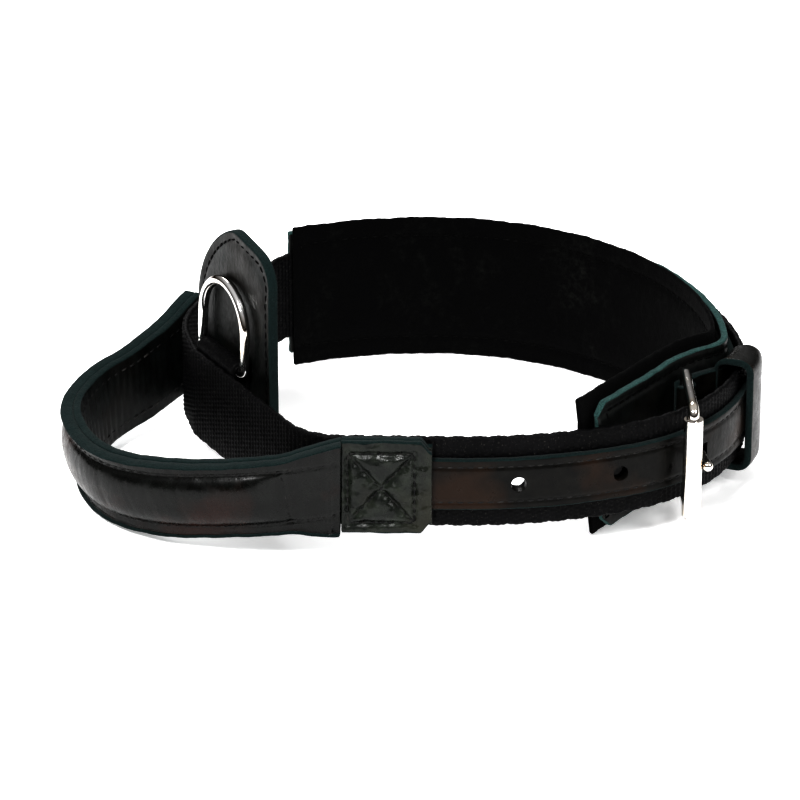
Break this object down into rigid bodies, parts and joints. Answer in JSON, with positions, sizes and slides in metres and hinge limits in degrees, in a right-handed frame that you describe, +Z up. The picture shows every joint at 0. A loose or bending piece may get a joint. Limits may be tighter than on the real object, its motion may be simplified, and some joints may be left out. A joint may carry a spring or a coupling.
{
  "type": "buckle dog collar with grab handle",
  "caption": "Padded working-dog collar that closes with a roller buckle and keeper, with a D-ring on a guard tab and a padded grab handle.",
  "frame": {"origin": "centre of the collar's bounding box, on the floor that it stands on", "axes": "+X towards the buckle and keeper, +Y towards the back of the wide panel, +Z up"},
  "size_m": [0.222, 0.1629, 0.084],
  "materials": {
    "grain_leather": "satin black grain with raw teal edges",
    "billet_leather": "satin black, worn brown",
    "handle_leather": "smooth semi-gloss black",
    "patch_leather": "pebbled satin black",
    "keeper_leather": "smooth satin black",
    "suede_lining": "napped suede",
    "felt_padding": "dense felt",
    "nylon_webbing": "ribbed weave",
    "thread": "waxed thread",
    "ring_chrome": "polished",
    "buckle_chrome": "polished",
    "roller_chrome": "polished",
    "tongue_chrome": "polished"
  },
  "bodies": {
    "collar": {"panel_leather": "grain_leather", "panel_lining": "suede_lining", "panel_padding": "felt_padding", "panel_stitching": "thread", "webbing_strap": "nylon_webbing", "billet_leather": "billet_leather", "billet_stitching": "thread", "handle_inner_leather": "handle_leather", "handle_padding": "felt_padding", "handle_outer_leather": "handle_leather", "handle_stitching": "thread", "front_patch": "patch_leather", "front_patch_stitching": "thread", "rear_patch": "patch_leather", "rear_patch_stitching": "thread", "dring_chape": "nylon_webbing", "dring_tab": "grain_leather", "tab_stitching": "thread", "buckle_chape": "billet_leather", "keeper_loop": "keeper_leather"},
    "ring": {"d_ring": "ring_chrome"},
    "frame": {"buckle_frame": "buckle_chrome"},
    "roller": {"buckle_roller": "roller_chrome"},
    "tongue": {"buckle_tongue": "tongue_chrome"}
  },
  "joints": [
    {"name": "ring_swing", "type": "hinge", "parent": "collar", "child": "ring", "pos_m": [-0.0605, -0.01557, 0.04], "axis": [0.4924, -0.8704, 0], "range_deg": [0, 50]},
    {"name": "frame_swing", "type": "hinge", "parent": "collar", "child": "frame", "pos_m": [0.08443, -0.03392, 0.025], "axis": [0, 0, 1], "range_deg": [-8, 0]},
    {"name": "tongue_swing", "type": "hinge", "parent": "collar", "child": "tongue", "pos_m": [0.08443, -0.03392, 0.025], "axis": [0, 0, 1], "range_deg": [0, 4]},
    {"name": "roller_spin", "type": "hinge", "parent": "frame", "child": "roller", "pos_m": [0.0855, -0.0632, 0.025], "axis": [0, 0, 1], "continuous": true}
  ]
}
